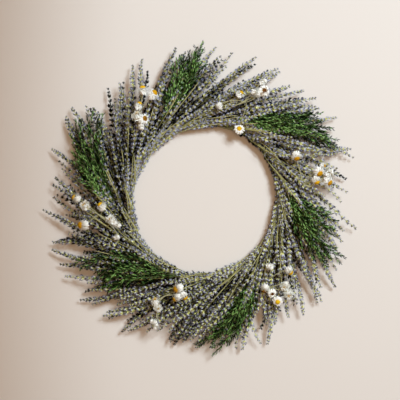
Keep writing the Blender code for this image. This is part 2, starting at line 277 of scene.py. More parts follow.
# Where each daisy is in the photograph, in pixels, the way it faces there in degrees, its tilt from
# facing the camera, its radius in millimetres, how far it is open and how brown its disc is
Flower = namedtuple("Flower", "x y faces tilt radius openness brown")
DAISY_PIXELS = (
    (
        Flower(240, 94, 45, 75, 7.0, 0.8, 0.2),
        Flower(256.5, 93, 160, 100, 8.0, 0.5, 0.2),
        Flower(264, 91, 30, 12, 8.5, 0.5, 1.0),
        Flower(263, 82, 35, 86, 6.5, 0.3, 0.1),
        Flower(219.5, 106, 300, 71, 5.5, 0.3, 0.2),
        Flower(239, 129.5, 80, 22, 7.5, 0.8, 0.1),
    ),
    (
        Flower(296.5, 156.5, 280, 63, 8.0, 0.9, 0.4),
        Flower(318.6, 172, 305, 50, 8.5, 0.95, 0.4),
        Flower(316.2, 180.5, 290, 63, 8.0, 0.85, 0.2),
        Flower(328.6, 174, 40, 115, 8.5, 0.5, 0.2),
        Flower(328, 181.5, 320, 62, 8.5, 0.9, 0.5),
        Flower(323, 165.7, 0, 81, 5.5, 0.7, 0.3),
    ),
    (
        Flower(270, 266.8, 150, 71, 6.0, 0.35, 0.2),
        Flower(289.5, 271, 305, 81, 8.0, 0.8, 0.1),
        Flower(264.8, 289, 245, 83, 8.5, 0.7, 1.0),
        Flower(272, 293.2, 300, 20, 6.5, 0.5, 1.0),
        Flower(277.6, 301, 270, 20, 7.5, 0.8, 0.0),
        Flower(288.7, 294, 290, 120, 8.5, 0.8, 0.2),
        Flower(285, 286, 240, 120, 7.5, 0.6, 0.2),
    ),
    (
        Flower(178, 288.7, 200, 62, 8.8, 0.95, 0.6),
        Flower(176.6, 298, 215, 86, 7.8, 0.8, 0.2),
        Flower(184.2, 296, 303, 83, 7.8, 0.8, 0.2),
        Flower(155.4, 301, 110, 118, 7.5, 0.7, 0.0),
        Flower(158, 307.6, 280, 125, 7.0, 0.6, 0.2),
        Flower(153.5, 321.8, 160, 95, 5.5, 0.4, 0.3),
        Flower(156, 326, 250, 95, 5.0, 0.4, 0.3),
    ),
    (
        Flower(76, 198, 160, 87, 8.0, 0.8, 0.1),
        Flower(84.8, 205.5, 135, 125, 8.0, 0.7, 0.2),
        Flower(101.5, 206, 130, 75, 8.0, 0.8, 0.1),
        Flower(83, 225, 182, 64, 9.3, 0.95, 0.5),
        Flower(111, 219.5, 140, 115, 8.0, 0.5, 0.2),
        Flower(116.7, 224.5, 330, 110, 6.5, 0.5, 0.2),
        Flower(116.7, 237.6, 200, 71, 5.0, 0.3, 0.2),
    ),
    (
        Flower(142.8, 90, 95, 79, 8.3, 0.9, 0.1),
        Flower(152.8, 94.2, 42, 66, 8.8, 0.9, 0.3),
        Flower(139, 105.4, 70, 83, 7.5, 0.8, 0.1),
        Flower(137, 115.7, 110, 120, 8.5, 0.7, 0.2),
        Flower(143.3, 119.2, 20, 48, 8.5, 0.8, 0.8),
        Flower(141.3, 126.8, 280, 71, 5.5, 0.3, 0.2),
    ),
)
# Flowers take turns at two heights, and none stands further than its clearance above the foliage
DAISY_SIZE = 1.2 * MM
DAISY_LOW = 53 * MM
DAISY_STEP = 9 * MM
DAISY_CLEARANCE = 13 * MM
DAISY_INWARDS = 10 * MM
# A spray's stalk, and the thin branches that leave it between two of its shares for the flowers
STALK_START = 146 * MM
STALK_TIP = 192 * MM
STALK_HEIGHTS = (14 * MM, 38 * MM, 46 * MM)
STALK_RADII = (1.3 * MM, 1.1 * MM)
STALK_TONE = 0.7
FIRST_FORK = 0.72
FORK_SPAN = 0.26
BRANCH_RADII = (0.85 * MM, 0.68 * MM)
BRANCH_TONES = (0.4, 1.0)
BRANCH_POINTS = 20
BRANCH_SETBACK = 2.5 * MM
# How far a branch's guides are from its ends, to its reach, and how much it levels out and turns to
# the way its flower faces before it gets there
BRANCH_LEAVES = 0.35
BRANCH_ARRIVES = 0.3
REACH_LEVEL = (1, 1, 0.2)
FACE_LEVEL = (1, 1, 0.3)
FACE_PULL = 0.8
# A daisy is a ball of papery bracts with a domed disc in front. Its disc's size and place, to the
# ball's radius, are what a closed flower has and what a fully open one has more
RUFF = 0.77
DISC_SIZE = (0.36, 0.3)
DISC_PLACE = (0.15, 0.36)
DISC_HEIGHT = 0.8
DOME_ROWS = 5
DOME_SIDES = 12
FLORETS = 46
FLORET_SIDES = 5
FLORET_SIZE = 0.17
FLORET_SIZES = (0.85, 1.15)
FLORET_HEIGHT = 1.3
GOLDEN_ANGLE = math.pi * (3 - math.sqrt(5))
# A floret is the browner, the nearer the top of the disc it is
FLORET_BROWNS = (0.7, 1.0)
FLORET_TONES = (0, 0.12)
TOP_BROWN = 1.15
BROWN_FALL = 0.6
# Directions that no flower and no floret faces, which their sideways directions are made from
FLOWER_ASIDE = (0.3, 0.2, 0.93)
FLORET_ASIDE = (0.1, 0.2, 0.9)
# The bracts overlap like scales round the ball. Each ring of them runs from one angle from the
# flower's axis to another, in degrees
BRACT_RINGS = ((40, 72), (58, 92), (78, 112), (96, 134), (118, 152))
CLOSING_RING = (72, 26)
CLOSED_BELOW = 0.6
BRACTS = 12
# How far along a bract its rows are, how wide there to its widest, and how far from the ball's middle
# to the ball's radius. Its edge and its point stand off by its flare
BRACT_ROWS = ((0.0, 0.5, 0.62), (0.45, 1.0, 0.93))
BRACT_EDGE = (0.8, 0.7)
BRACT_POINT = 1.08
BRACT_SIDES = (-0.5, 0.0, 0.5)
BRACT_STRAY = 0.25
BRACT_SLIP = 5
BRACT_WIDTH = 0.41
BRACT_WIDTHS = (0.85, 1.15)
BRACT_FLARES = (1.04, 1.42)

# Light, and the floor
KEY_PLACE = (1.20, 1.20, 2.76)
KEY_TARGET = (2.41, 0.456, 0.0)
KEY_POWER = 377
KEY_COLOUR = (0.81, 0.92, 1.0)
KEY_EDGE = (-0.40, 0.0, 0.0)
KEY_BLEND = 0.03
KEY_RADIUS = 0.2
KEY_SPREAD = 0.32
KEYS = 4
FILL_HEIGHT = 2.7
FILL_SIZE = 0.9
FILL_POWER = 19
WORLD_COLOUR = (1.0, 0.65, 0.40)
WORLD_STRENGTH = 0.15
FLOOR_COLOUR = (0.77, 0.74, 0.70)
FLOOR_ROUGHNESS = 0.9
FLOOR_REACH = 4.0
FLOOR_DROP = 0.2 * MM

# Meshes. A copy's faces keep this far from the edges of its cell in the map
CELL_MARGIN = 0.08
STEM_ROWS = 14
STEM_SIDES = 4
BUD_SIDES = 3
# The rows of a bud and of a leaf: how far along it each is, and how wide to its widest
BUD_ROWS = ((0.06, 0.5), (0.62, 1.0))
BUD_CURL = 0.12
LEAF_ROWS = ((0.0, 0.45), (0.5, 1.0))
LEAF_SIDES = (-0.5, 0.5)
LEAF_BASE = 0.5 * MM

# Materials: the noise that mottles them, what it does to colour, roughness and relief, and where the
# shader's colour mixer has its sockets
MOTTLE_DETAIL = 4.0
DARK_MOTTLE = 0.3
LIGHT_MOTTLE = 0.7
LIGHTENING = 0.5
ROUGHNESS_CHANGE = 0.12
RELIEF = 0.35
RELIEF_DEPTH = 0.2 * MM
MIX_A = 6
MIX_B = 7
MIX_RESULT = 2


# Meshes

class Shape:
    """The faces that a grid of corners takes: rows of them, each row open or closed into a ring, and a
    point after the last row. along is each corner's place from the first row to the point."""

    def __init__(self, rows, columns, closed=True):
        self.count = rows * columns + 1
        across = columns if closed else columns - 1
        quads, quad_map, tips, tip_map = [], [], [], []
        for column in range(across):
            beside = (column + 1) % columns
            left = column / across
            right = (column + 1) / across
            for row in range(rows - 1):
                low = row * columns
                high = low + columns
                quads.append((low + column, low + beside, high + beside, high + column))
                bottom = row / rows
                top = (row + 1) / rows
                quad_map.append(((left, bottom), (right, bottom), (right, top), (left, top)))
            low = (rows - 1) * columns
            tips.append((low + column, low + beside, rows * columns))
            bottom = (rows - 1) / rows
            tip_map.append(((left, bottom), (right, bottom), ((left + right) / 2, 1.0)))
        self.faces = [pair for pair in ((quads, quad_map), (tips, tip_map)) if pair[0]]
        self.along = [row / rows for row in range(rows) for _ in range(columns)] + [1.0]


SHAPES = {
    "bud": Shape(len(BUD_ROWS), BUD_SIDES),
    "leaf": Shape(len(LEAF_ROWS), len(LEAF_SIDES), closed=False),
    "stem": Shape(STEM_ROWS, STEM_SIDES),
    "bract": Shape(len(BRACT_ROWS) + 1, len(BRACT_SIDES), closed=False),
    "floret": Shape(1, FLORET_SIDES),
    "dome": Shape(DOME_ROWS, DOME_SIDES),
}


class Growth:
    """What one piece is grown from: for each shape and material, its corners and its tone."""

    def __init__(self):
        self.parts = {}

    def add(self, shape, slot, points, tones):
        """points has a row of corners for each copy of the shape, and tones a number for each copy."""
        points = np.asarray(points, float).reshape(-1, SHAPES[shape].count, 3)
        tones = np.broadcast_to(np.asarray(tones, float), (len(points),))
        self.parts.setdefault((shape, slot), []).append((points, tones))

    def stem(self, line, radii, tone, reach=None):
        """A tube along a line, as far as a reach or else to its end, closed to a point."""
        self.add("stem", 1, tube(line, reach or line.length, radii), tone)

    def build(self, name, materials, node):
        """The piece of everything gathered. Each copy has a cell of its own in the map OFBake."""
        total = sum(len(points) for made in self.parts.values() for points, _ in made)
        cells = math.ceil(math.sqrt(total))
        corners, tones, alongs = [], [], []
        loops, sizes, slots, maps = [], [], [], []
        start = 0
        cell = 0
        for (shape, number), made in self.parts.items():
            form = SHAPES[shape]
            points = np.concatenate([each for each, _ in made])
            tone = np.concatenate([each for _, each in made])
            copies = len(points)
            corners.append(points.reshape(-1, 3))
            tones.append(np.repeat(tone, form.count))
            alongs.append(np.tile(form.along, copies))
            first = start + form.count * np.arange(copies)
            place = cell + np.arange(copies)
            origin = np.stack([place % cells, place // cells], 1) + CELL_MARGIN
            for faces, face_map in form.faces:
                faces = np.array(faces)
                loops.append((first[:, None, None] + faces[None]).ravel())
                sizes.append(np.full(copies * len(faces), faces.shape[1]))
                slots.append(np.full(copies * len(faces), number))
                spread = origin[:, None, None, :] + (1 - 2 * CELL_MARGIN) * np.array(face_map)[None]
                maps.append((spread / cells).reshape(-1, 2))
            start += copies * form.count
            cell += copies
        mesh = bare_mesh(name, np.concatenate(corners), np.concatenate(loops), np.concatenate(sizes))
        mesh.polygons.foreach_set("material_index", np.concatenate(slots).astype(np.int32))
        layer = mesh.uv_layers.new(name="OFBake")
        layer.uv.foreach_set("vector", np.concatenate(maps).astype(np.float32).ravel())
        for label, values in (("tone", tones), ("along", alongs)):
            attribute = mesh.attributes.new(label, "FLOAT", "POINT")
            attribute.data.foreach_set("value", np.concatenate(values).astype(np.float32))
        for material in materials:
            mesh.materials.append(material)
        piece = bpy.data.objects.new(name, mesh)
        bpy.context.scene.collection.objects.link(piece)
        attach(piece, BODY)
        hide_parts(node)


def bare_mesh(name, corners, loops, sizes):
    """A smooth mesh. loops lists the faces' corners one face after another, and sizes how many each
    face has."""
    mesh = bpy.data.meshes.new(name)
    mesh.vertices.add(len(corners))
    mesh.vertices.foreach_set("co", corners.astype(np.float32).ravel())
    mesh.loops.add(len(loops))
    mesh.loops.foreach_set("vertex_index", loops.astype(np.int32))
    mesh.polygons.add(len(sizes))
    mesh.polygons.foreach_set("loop_start", (np.cumsum(sizes) - sizes).astype(np.int32))
    mesh.polygons.foreach_set("use_smooth", np.ones(len(sizes), bool))
    mesh.update(calc_edges=True)
    return mesh


# Lines and frames

def unit(vectors):
    """Vectors at length 1."""
    return vectors / np.linalg.norm(vectors, axis=-1, keepdims=True)


def outwards(azimuth):
    """The direction at an angle in the ring's plane."""
    return np.array([math.cos(azimuth), math.sin(azimuth), 0.0])


def smooth_curve(start, middle, end, t):
    """A curve from a start to an end, bent towards a guide between them."""
    return start * (1 - t) ** 2 + 2 * middle * t * (1 - t) + end * t * t


def crown(radius):
    """The height of the wreath's upper surface this far from the middle."""
    return float(np.interp(radius, CROWN_RADII, CROWN_HEIGHTS))


def flow_line(angle, start, end, heights, drift=0.0, sway=0.0, phase=0.0):
    """A stem's line from radius start to radius end. angle is where the model's line would cross the
    ring, drift is how far it strays from its lane in all, and sway and phase give it a slight wave."""
    t = np.linspace(0, 1, LINE_POINTS)
    radius = start + (end - start) * t
    turned = angle - LEAD - np.log((radius - EYE) / (RING_RADIUS - EYE)) / TURN
    turned = turned + (drift + TIPS_OUT) * t**DRIFT_POWER + sway * np.sin(math.tau * t + phase)
    height = smooth_curve(*heights, t)
    return np.stack([radius * np.cos(turned), radius * np.sin(turned), height], 1)


def edge_line(angle, start, inner, end, reach, low, top):
    """A stem that bows in from the ring to the inner radius, climbs over the necks ahead of it and
    turns out again."""
    t = np.linspace(0, 1, LINE_POINTS)
    radius = smooth_curve(start, 2 * inner - 0.5 * (start + end), end, t)
    turned = angle - reach * t / RING_RADIUS
    height = low + (top - low) * np.sin(EDGE_CLIMB * math.pi * t)
    return np.stack([radius * np.cos(turned), radius * np.sin(turned), height], 1)


def branch_line(start, first, second, end):
    """A smooth line from a start to an end, bent towards two guides."""
    t = np.linspace(0, 1, BRANCH_POINTS)[:, None]
    return start * (1 - t) ** 3 + 3 * first * t * (1 - t) ** 2 + 3 * second * t**2 * (1 - t) + end * t**3


class Line:
    """A line with its length, which gives points and frames at any distances along it."""

    def __init__(self, points):
        steps = np.linalg.norm(np.diff(points, axis=0), axis=1)
        self.points = points
        self.lengths = np.concatenate([[0], np.cumsum(steps)])
        self.length = self.lengths[-1]
        self.tangents = unit(np.gradient(points, axis=0))

    def at(self, distances):
        """Points, and the directions across, above and along the line there."""
        places = np.stack([np.interp(distances, self.lengths, axis) for axis in self.points.T], -1)
        ahead = unit(np.stack([np.interp(distances, self.lengths, axis) for axis in self.tangents.T], -1))
        across = unit(np.cross(ahead, UP))
        above = np.cross(across, ahead)
        return places, across, above, ahead


def tube(line, reach, radii):
    """The corners of a tube along a line as far as a reach, closed to a point. radii are evenly spaced
    along it."""
    distances = np.linspace(0, reach, STEM_ROWS + 1)
    places, across, above, _ = line.at(distances)
    angles = math.tau * np.arange(STEM_SIDES) / STEM_SIDES
    radius = np.interp(np.linspace(0, 1, STEM_ROWS), np.linspace(0, 1, len(radii)), radii)
    ring = np.cos(angles)[None, :, None] * across[:STEM_ROWS, None]
    ring = ring + np.sin(angles)[None, :, None] * above[:STEM_ROWS, None]
    rings = places[:STEM_ROWS, None] + radius[:, None, None] * ring
    return np.concatenate([rings.reshape(-1, 3), places[STEM_ROWS:]])


def bud(azimuth, tilt, length, radius, base, rise):
    """A tapered bud or needle that leaves the stem's axis, with its base sunk into the stem."""
    out = outwards(azimuth)
    beside = np.cross(UP, out)
    ahead = math.sin(tilt) * out + math.cos(tilt) * UP
    over = np.cross(beside, ahead)
    root = base * out + rise * UP
    corners = []
    for place, width in BUD_ROWS:
        for side in range(BUD_SIDES):
            angle = math.tau * (side + 0.5) / BUD_SIDES
            swing = math.cos(angle) * beside + math.sin(angle) * over
            corners.append(root + place * length * ahead + width * radius * swing)
    corners.append(root + length * ahead + BUD_CURL * length * UP)
    return corners


def leaf(azimuth, tilt, length, width):
    """A pointed leaf of two rows of corners and a tip, along +Z before its tilt."""
    out = outwards(azimuth)
    beside = np.cross(UP, out)
    ahead = math.sin(tilt) * out + math.cos(tilt) * UP
    corners = []
    for place, share in LEAF_ROWS:
        for side in LEAF_SIDES:
            corners.append(LEAF_BASE * out + place * length * ahead + side * share * width * beside)
    corners.append(LEAF_BASE * out + length * ahead)
    return corners


def placed(template, place, across, above, ahead, roll, size):
    """A template's corners, with its +Z along a line there."""
    x = math.cos(roll) * across + math.sin(roll) * above
    y = np.cross(ahead, x)
    return place + size * (template @ np.stack([x, y, ahead]))


# Lavender

def whorl_templates(draw):
    """Pairs of opposite tufts of calyxes on a stem along +Z, as in the middle of a flower head."""
    made = []
    for _ in range(WHORL_TEMPLATES):
        count = CALYXES + int(draw.integers(-1, 2))
        buds = []
        for number in range(count):
            azimuth = math.pi * (number % 2) + draw.uniform(-TUFT_SPREAD, TUFT_SPREAD)
            tilt = math.radians(draw.uniform(*CALYX_TILTS))
            length = CALYX_LENGTH * draw.uniform(*CALYX_LENGTHS)
            radius = CALYX_RADIUS * draw.uniform(*CALYX_RADII)
            rise = draw.uniform(-CALYX_RISE, CALYX_RISE) * MM
            buds.append(bud(azimuth, tilt, length, radius, CALYX_BASE, rise))
        made.append(np.array(buds))
    return made


def whorl(growth, there, template, roll, size, bright, draw):
    """One whorl of a flower head, with the bracts under its two tufts. there is what Line.at gives."""
    place, across, above, ahead = there
    made = placed(template, place, across, above, ahead, roll, size * draw.uniform(*WHORL_SIZES))
    # Painted shade: calyxes that sit below the stem's axis are darker
    under = SHADE_UNDER * np.minimum(0.0, made[:, :, 2].mean(1) - place[2])
    growth.add("bud", 0, made, bright + under + draw.uniform(*CALYX_TONES, len(made)))
    below = place - LAVENDER_BRACT_DROP * size * ahead
    for side in (0.0, math.pi):
        tilt = math.radians(draw.uniform(*LAVENDER_BRACT_TILTS))
        bract = np.array([leaf(side, tilt, *LAVENDER_BRACT)])
        made = placed(bract, below, across, above, ahead, roll, size)
        growth.add("leaf", 2, made, bright + draw.uniform(-LAVENDER_BRACT_TONES, LAVENDER_BRACT_TONES))


def lavender_head(growth, line, head, size, painted_light, draw):
    """A stem with its flower head: close whorls of calyxes, wider apart towards the stem."""
    # A head's tone differs at random and also takes its bunch's painted light
    shade = draw.uniform(-HEAD_TONES, HEAD_TONES) + painted_light
    spread = draw.choice(HEAD_SPREADS)
    growth.stem(line, HEAD_STEM, STEM_TONE + shade + draw.uniform(-STEM_TONES, STEM_TONES))
    distance = TIP_WHORL
    number = 0
    turn = draw.uniform(0, math.tau)
    while distance < head:
        grown = min(1.0, TIP_WHORL_SIZE + WHORL_GROWTH * number) * size
        there = line.at(line.length - distance)
        x, y, height = there[0]
        # Painted shade: a whorl is darker the further below the crown it sits
        sunk = max(0.0, 1 - height / crown(math.hypot(x, y)))
        bright = BRIGHT + shade - SHADE_BELOW * sunk - SHADE_TIPS * max(0.0, 1 - number / TIP_WHORLS)
        template = TEMPLATES[int(draw.integers(len(TEMPLATES)))]
        roll = turn + 0.5 * math.pi * number + draw.normal(0, TWIST)
        whorl(growth, there, template, roll, grown, bright, draw)
        number += 1
        pitch = (WHORL_PITCH + WHORL_PITCH_GAIN * min(1.0, number / TIP_WHORLS)) * MM
        distance += pitch * size * spread * draw.uniform(*WHORL_PITCHES)
        if distance > head and number > TIP_WHORLS and draw.random() < LOOSE_WHORLS:
            distance += draw.uniform(*LOOSE_GAPS) * MM
            head = distance + LOOSE_MARGIN


def bare_stem(growth, line, draw):
    """A stem without a flower head."""
    growth.stem(line, BARE_STEM, draw.uniform(*BARE_TONES))


def layer_of_heads(growth, station, layer, heads, painted_light, draw):
    """One layer of a bunch: flower heads side by side, fanned out a little towards their tips."""
    shift = draw.uniform(-LAYER_SHIFT, LAYER_SHIFT)
    start = layer.start * MM
    for k in range(heads):
        lane = (k + 0.5 + shift + draw.uniform(-LANE_STRAY, LANE_STRAY)) / heads - 0.5
        tip = draw.uniform(*layer.tips) * MM
        end = LOWEST_TIP + (crown(tip) - LOWEST_TIP) * draw.uniform(*layer.shares)
        rise = (crown(0.5 * (start + tip)) - NECK_HEIGHT) * draw.uniform(*layer.shares)
        heights = (NECK_HEIGHT, NECK_HEIGHT + ARCH * rise, end)
        scatter = WIDE_DRIFT if draw.random() < WIDE_DRIFTS else DRIFT
        drift = FAN * lane * STATION_STEP + draw.normal(0, scatter)
        sway = draw.normal(0, SWAY)
        phase = draw.uniform(0, math.tau)
        line = Line(flow_line(station + lane * STATION_STEP, start, tip, heights, drift, sway, phase))
        length = draw.uniform(*layer.lengths) * MM
        size = draw.uniform(*HEAD_SIZES)
        lavender_head(growth, line, length, size, painted_light, draw)


def inner_edge(growth, station, painted_light, draw):
    """The heads and bare stems that run on along the wreath's inner edge, over the necks ahead."""
    towards = station - EDGE_TURN
    inner = EDGE_INNER + EDGE_SHIFT * math.cos(towards) + EDGE_OVAL * math.cos(2 * (towards - EDGE_LONGEST))
    for k in range(EDGE_LINES):
        bare = k in EDGE_STEM_PLACES
        out = EDGE_WIDTH * (k + draw.uniform(0, 1)) / EDGE_LINES
        out -= EDGE_STRAY * (draw.random() < EDGE_STRAYS)
        end = inner + out + draw.uniform(*EDGE_ENDS) * MM
        top = EDGE_RISE * out + draw.uniform(*EDGE_TOPS) * MM + EDGE_STEM_LIFT * bare
        lane = (EDGE_LANES_APART * k % EDGE_LINES + draw.uniform(0, 1)) / EDGE_LINES - 0.5
        start = draw.uniform(*EDGE_STARTS) * MM
        reach = draw.uniform(*EDGE_REACHES) * MM
        low = draw.uniform(*EDGE_LOWS) * MM
        line = Line(edge_line(station + lane * STATION_STEP, start, inner + out, end, reach, low, top))
        if bare:
            bare_stem(growth, line, draw)
        else:
            length = draw.uniform(*EDGE_LENGTHS) * MM
            size = draw.uniform(*EDGE_SIZES)
            lavender_head(growth, line, length, size, painted_light, draw)


def stem_over_bunch(growth, station, draw):
    """A bare stem that lies over a bunch."""
    start = draw.uniform(*BARE_STARTS) * MM
    tip = draw.uniform(*BARE_TIPS) * MM
    root = draw.uniform(*BARE_ROOT_HEIGHTS) * MM
    middle = draw.uniform(*BARE_MIDDLE_HEIGHTS) * MM
    end = crown(tip) + draw.uniform(*BARE_TIP_CLEARANCES) * MM
    angle = station + draw.uniform(-0.5, 0.5) * STATION_STEP
    bare_stem(growth, Line(flow_line(angle, start, tip, (root, middle, end))), draw)


def lavender_bunch(number):
    """A bunch's layers of heads, the lines along the inner edge and the bare stems over it."""
    growth = Growth()
    draw = np.random.default_rng((SEED, 1, number))
    station = FIRST_STATION - number * STATION_STEP
    tips_towards = station - TIPS_AHEAD
    # Painted light: a bunch is painted lighter the more its tips lie towards the lit side
    painted_light = PAINTED_LIGHT * math.cos(tips_towards - PAINTED_LIGHT_TOWARDS)
    more = round(FULLER * max(0.0, math.cos(tips_towards - FULL_TOWARDS)))
    for layer in LAYERS:
        outer = layer.tips[0] >= OUTER_TIPS
        layer_of_heads(growth, station, layer, layer.heads + more * outer, painted_light, draw)
    inner_edge(growth, station, painted_light, draw)
    for _ in range(BARE_STEMS):
        stem_over_bunch(growth, station, draw)
    name = f"lavender_{number + 1:02d}"
    growth.build(name, (CALYX, STRAW, BRACT), f"lavender_bunch_{number + 1:02d}")


# Leafy sprays

def needles(growth, line, first, lengths, shade, draw):
    """Needles all round a line from a distance on, shorter towards its tip, with painted shade below the line
    and towards its root and painted light above it.
    """
    distances = np.arange(first, line.length, NEEDLE_PITCH)
    places, across, above, ahead = line.at(distances)
    made = []
    for i, distance in enumerate(distances):
        left = (line.length - distance) / line.length
        taper = SHORTEST_NEEDLE + (1 - SHORTEST_NEEDLE) * min(1.0, left / TAPERED)
        length = draw.uniform(*lengths) * taper
        tilt = math.radians(draw.uniform(*NEEDLE_TILTS))
        radius = NEEDLE_RADIUS * draw.uniform(*NEEDLE_RADII)
        needle = np.array(bud(draw.uniform(0, math.tau), tilt, length, radius, NEEDLE_BASE, 0.0))
        made.append(placed(needle, places[i], across[i], above[i], ahead[i], 0.0, 1.0))
    made = np.array(made)
    # Painted shade below the line and towards its root, and painted light above the line
    under = NEEDLE_SHADE * (made[:, :, 2].mean(1) - places[:, 2])
    lighter = TIP_GAIN * distances / line.length + draw.uniform(*NEEDLE_TONES, len(made))
    growth.add("bud", 0, made, shade + under + lighter)


def side_shoot(growth, line, k, shade, draw):
    """Side shoot k of a sprig, to one side or the other in turn."""
    share = FIRST_SHOOT + SHOOT_SPAN * (k + draw.uniform(-SHOOT_STRAY, SHOOT_STRAY)) / SHOOTS
    place, across, above, ahead = line.at(share * line.length)
    swing = math.radians(draw.uniform(*SHOOT_SWINGS))
    out = unit((-1) ** k * across + draw.uniform(*SHOOT_LIFTS) * above)
    length = draw.uniform(*SHOOT_LENGTHS) * MM
    t = np.linspace(0, 1, LINE_POINTS)[:, None]
    bent = (t - SHOOT_BEND * t * t) * math.sin(swing) * out
    shoot = Line(place + length * (t * math.cos(swing) * ahead + bent))
    growth.stem(shoot, SHOOT_STEM, shade, length)
    # Painted shade: shoots that leave nearer the sprig's root are darker
    lighter = ROOT_SHADE * (share - EVEN_SHARE) + draw.uniform(*SHOOT_TONES)
    needles(growth, shoot, SHOOT_BARE, SHOOT_NEEDLES, shade + lighter, draw)


def green_sprig(growth, line, shade, draw):
    """A main stem with needles and side shoots."""
    shade += draw.uniform(*SPRIG_TONES)
    growth.stem(line, SPRIG_STEM, shade)
    needles(growth, line, SPRIG_BARE * line.length, MAIN_NEEDLES, shade + MAIN_NEEDLE_TONE, draw)
    for k in range(SHOOTS):
        side_shoot(growth, line, k, shade, draw)


def green_spray(number):
    """Bright sprigs over darker ones, whose darker tone is painted shade. They start the higher, the nearer
    the middle they start.
    """
    growth = Growth()
    draw = np.random.default_rng((SEED, 2, number))
    spray = SPRAYS[number]
    station = FIRST_STATION - SPRAY_STATIONS * number * STATION_STEP + math.radians(spray.turn)
    for sprig in range(SPRIGS + UNDER_SPRIGS):
        below = sprig >= SPRIGS
        lane = (sprig - SPRIGS + 0.5) / UNDER_SPRIGS - 0.5 if below else (sprig + 0.5) / SPRIGS - 0.5
        lane += draw.uniform(-SPRIG_LANE_STRAY, SPRIG_LANE_STRAY)
        shorter = OUTER_SHORTER * max(0.0, abs(lane) - INNER_LANES)
        tip = (draw.uniform(*spray.tips) - shorter - UNDER_SHORTER * below) * MM
        root = (SPRIG_ROOT - spray.start) * MM
        middle = (draw.uniform(*SPRIG_MIDDLES) - UNDER_MIDDLE_LOWER * below) * MM
        lift = draw.uniform(-SPRIG_TIP_CLEARANCE, SPRIG_TIP_CLEARANCE) - UNDER_TIP_LOWER * below
        heights = (root, middle, crown(tip) + lift * MM)
        angle = station + spray.width * lane * STATION_STEP
        drift = spray.fan * spray.width * lane * STATION_STEP + math.radians(spray.back)
        sway = draw.uniform(-SPRIG_SWAY, SPRIG_SWAY)
        phase = draw.uniform(0, math.tau)
        line = Line(flow_line(angle, spray.start * MM, tip, heights, drift, sway, phase))
        # The under sprigs take a darker tone, which is painted shade
        green_sprig(growth, line, UNDER_TONE if below else SPRIG_TONE, draw)
    growth.build(f"greenery_{number + 1}", (NEEDLE, TWIG), f"green_spray_{number + 1}")


# Daisies

def dome_corners(dome, front):
    """A disc's dome, in rings of corners up to its top."""
    rings = []
    for row in range(DOME_ROWS):
        angle = 0.5 * math.pi * row / DOME_ROWS
        height = front + DISC_HEIGHT * dome * math.sin(angle)
        for column in range(DOME_SIDES):
            rings.append(dome * math.cos(angle) * outwards(math.tau * column / DOME_SIDES) + height * UP)
    rings.append((front + DISC_HEIGHT * dome) * UP)
    return np.array(rings)


def floret_corners(share, turn, dome, front, draw):
    """A floret that stands on the dome, this share of the way down from its top."""
    angle = math.acos(1 - share)
    out = math.sin(angle) * outwards(turn) + math.cos(angle) * UP
    root = out * (dome, dome, DISC_HEIGHT * dome) + front * UP
    side = unit(np.cross(out, FLORET_ASIDE))
    other = np.cross(out, side)
    size = FLORET_SIZE * dome * draw.uniform(*FLORET_SIZES)
    corners = []
    for k in range(FLORET_SIDES):
        swing = math.cos(math.tau * k / FLORET_SIDES) * side + math.sin(math.tau * k / FLORET_SIDES) * other
        corners.append(root + size * swing)
    corners.append(root + FLORET_HEIGHT * size * out)
    return np.array(corners)


def bract_corners(azimuth, first, last, ball, draw):
    """A papery bract that lies on the ball from one angle to another, where it stands off and ends in
    a point."""
    out = outwards(azimuth)
    beside = np.cross(UP, out)
    slip = draw.uniform(-BRACT_SLIP, BRACT_SLIP)
    width = BRACT_WIDTH * ball * draw.uniform(*BRACT_WIDTHS)
    flare = draw.uniform(*BRACT_FLARES)
    corners = []
    for share, wide, reach in (*BRACT_ROWS, (*BRACT_EDGE, flare), (1.0, 0.0, BRACT_POINT * flare)):
        angle = math.radians(first + (last - first) * share + slip)
        middle = ball * reach * (math.sin(angle) * out + math.cos(angle) * UP)
        if wide:
            corners.extend(middle + side * wide * width * beside for side in BRACT_SIDES)
        else:
            corners.append(middle)
    return np.array(corners)


def daisy_head(growth, flower, place, ahead, draw):
    """A dome of florets that faces ahead out of a ball of papery bracts, further as the flower opens."""
    across = unit(np.cross(ahead, FLOWER_ASIDE))
    axes = np.stack([across, np.cross(across, ahead), ahead])
    ball = RUFF * (flower.radius * DAISY_SIZE)
    dome = ball * (DISC_SIZE[0] + DISC_SIZE[1] * flower.openness)
    front = ball * (DISC_PLACE[0] + DISC_PLACE[1] * flower.openness)
    growth.add("dome", 2, place + dome_corners(dome, front) @ axes, flower.brown)
    florets = []
    tones = []
    for k in range(FLORETS):
        share = (k + 0.5) / FLORETS
        florets.append(place + floret_corners(share, k * GOLDEN_ANGLE, dome, front, draw) @ axes)
        brown = flower.brown * draw.uniform(*FLORET_BROWNS) * (TOP_BROWN - BROWN_FALL * share)
        tones.append(brown + draw.uniform(*FLORET_TONES))
    growth.add("floret", 2, florets, tones)
    bract_rings = BRACT_RINGS if flower.openness > CLOSED_BELOW else (*BRACT_RINGS, CLOSING_RING)
    for first, last in bract_rings:
        bracts = []
        phase = draw.uniform(0, math.tau)
        for k in range(BRACTS):
            azimuth = phase + math.tau * (k + draw.uniform(-BRACT_STRAY, BRACT_STRAY)) / BRACTS
            bracts.append(place + bract_corners(azimuth, first, last, ball, draw) @ axes)
        growth.add("bract", 0, bracts, draw.uniform(0, 1, BRACTS))


def flower_place(flower, k):
    """Where flower k of a spray stands, under its pixels in the photograph."""
    from_middle = math.hypot(flower.x - MIDDLE_X, flower.y - MIDDLE_Y) * FLOOR_SCALE
    foliage = crown(from_middle - DAISY_INWARDS)
    height = min(DAISY_LOW + DAISY_STEP * (k % 2), foliage + DAISY_CLEARANCE)
    scale = FLOOR_SCALE * (CAMERA_HEIGHT - height) / CAMERA_HEIGHT
    x = CAMERA_X + (flower.x - PICTURE / 2) * scale
    y = CAMERA_Y + (PICTURE / 2 - flower.y) * scale
    return np.array([x, y, height])


